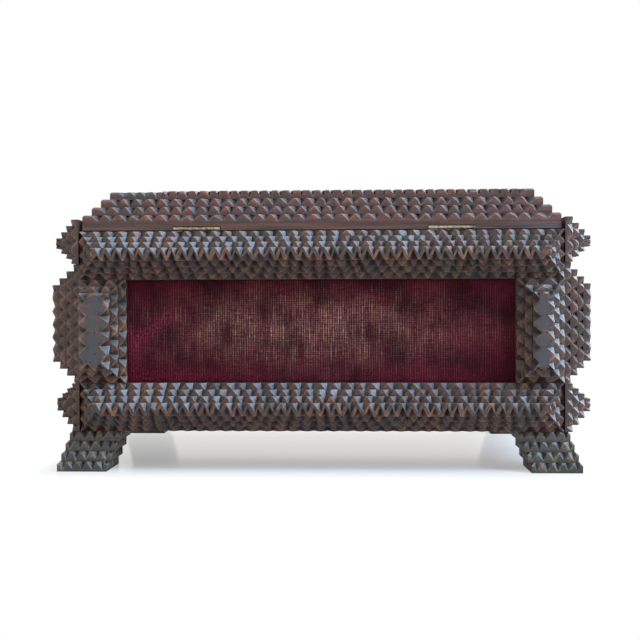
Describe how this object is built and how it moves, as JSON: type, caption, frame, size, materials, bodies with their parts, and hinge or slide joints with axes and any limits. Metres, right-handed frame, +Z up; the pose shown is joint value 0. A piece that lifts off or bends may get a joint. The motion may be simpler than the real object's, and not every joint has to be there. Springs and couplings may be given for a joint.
{
  "type": "tramp art box",
  "caption": "Folk-art wooden box with a hinged, stepped lid; walls framed by stacks of notch-carved strips round worn velvet panels, on splayed stacked feet",
  "frame": {"origin": "centre of the footprint on the surface that the feet stand on", "axes": "+X along the long walls, -Y toward the hinge side, +Z up"},
  "size_m": [0.307, 0.205, 0.1588],
  "materials": {
    "carved_wood": "dark reddish-brown varnish, worn lighter on the teeth",
    "board_wood": "plain dark brown boards",
    "foot_wood": "dark grey-brown varnish, worn",
    "patch_wood": "darker replaced piece",
    "velvet": "burgundy pile, worn to beige threads in the middle",
    "hinge_brass": "dulled brass",
    "screw_brass": "dulled brass"
  },
  "bodies": {
    "box": {"board_back": "board_wood", "board_front": "board_wood", "board_left": "board_wood", "board_right": "board_wood", "board_bottom": "board_wood", "velvet_back": "velvet", "velvet_front": "velvet", "velvet_left": "velvet", "velvet_right": "velvet", "rail_back_top": "carved_wood", "rail_back_bottom": "carved_wood", "rail_front_top": "carved_wood", "rail_front_bottom": "carved_wood", "rail_left_top": "carved_wood", "rail_left_bottom": "carved_wood", "rail_right_top": "carved_wood", "rail_right_bottom": "carved_wood", "post_back_left": "carved_wood", "post_back_right": "carved_wood", "post_front_left": "carved_wood", "post_front_right": "carved_wood", "post_left_back": "carved_wood", "post_left_front": "carved_wood", "post_right_back": "carved_wood", "post_right_front": "carved_wood", "foot_back_left": "foot_wood", "foot_back_right": "foot_wood", "foot_front_left": "foot_wood", "foot_front_right": "foot_wood", "hinge_left_body_leaf": "hinge_brass", "hinge_left_pin": "hinge_brass", "hinge_right_body_leaf": "hinge_brass", "hinge_right_pin": "hinge_brass", "screws_body": "screw_brass"},
    "lid": {"lid_board": "carved_wood", "lid_tier_1": "carved_wood", "lid_tier_2": "carved_wood", "lid_tier_3": "carved_wood", "lid_tier_4": "carved_wood", "lid_patch": "patch_wood", "hinge_left_lid_leaf": "hinge_brass", "hinge_right_lid_leaf": "hinge_brass", "screws_lid": "screw_brass"}
  },
  "joints": [
    {"name": "lid_hinge", "type": "hinge", "parent": "box", "child": "lid", "pos_m": [0, -0.0873, 0.1359], "axis": [1, 0, 0], "range_deg": [0, 115]}
  ]
}
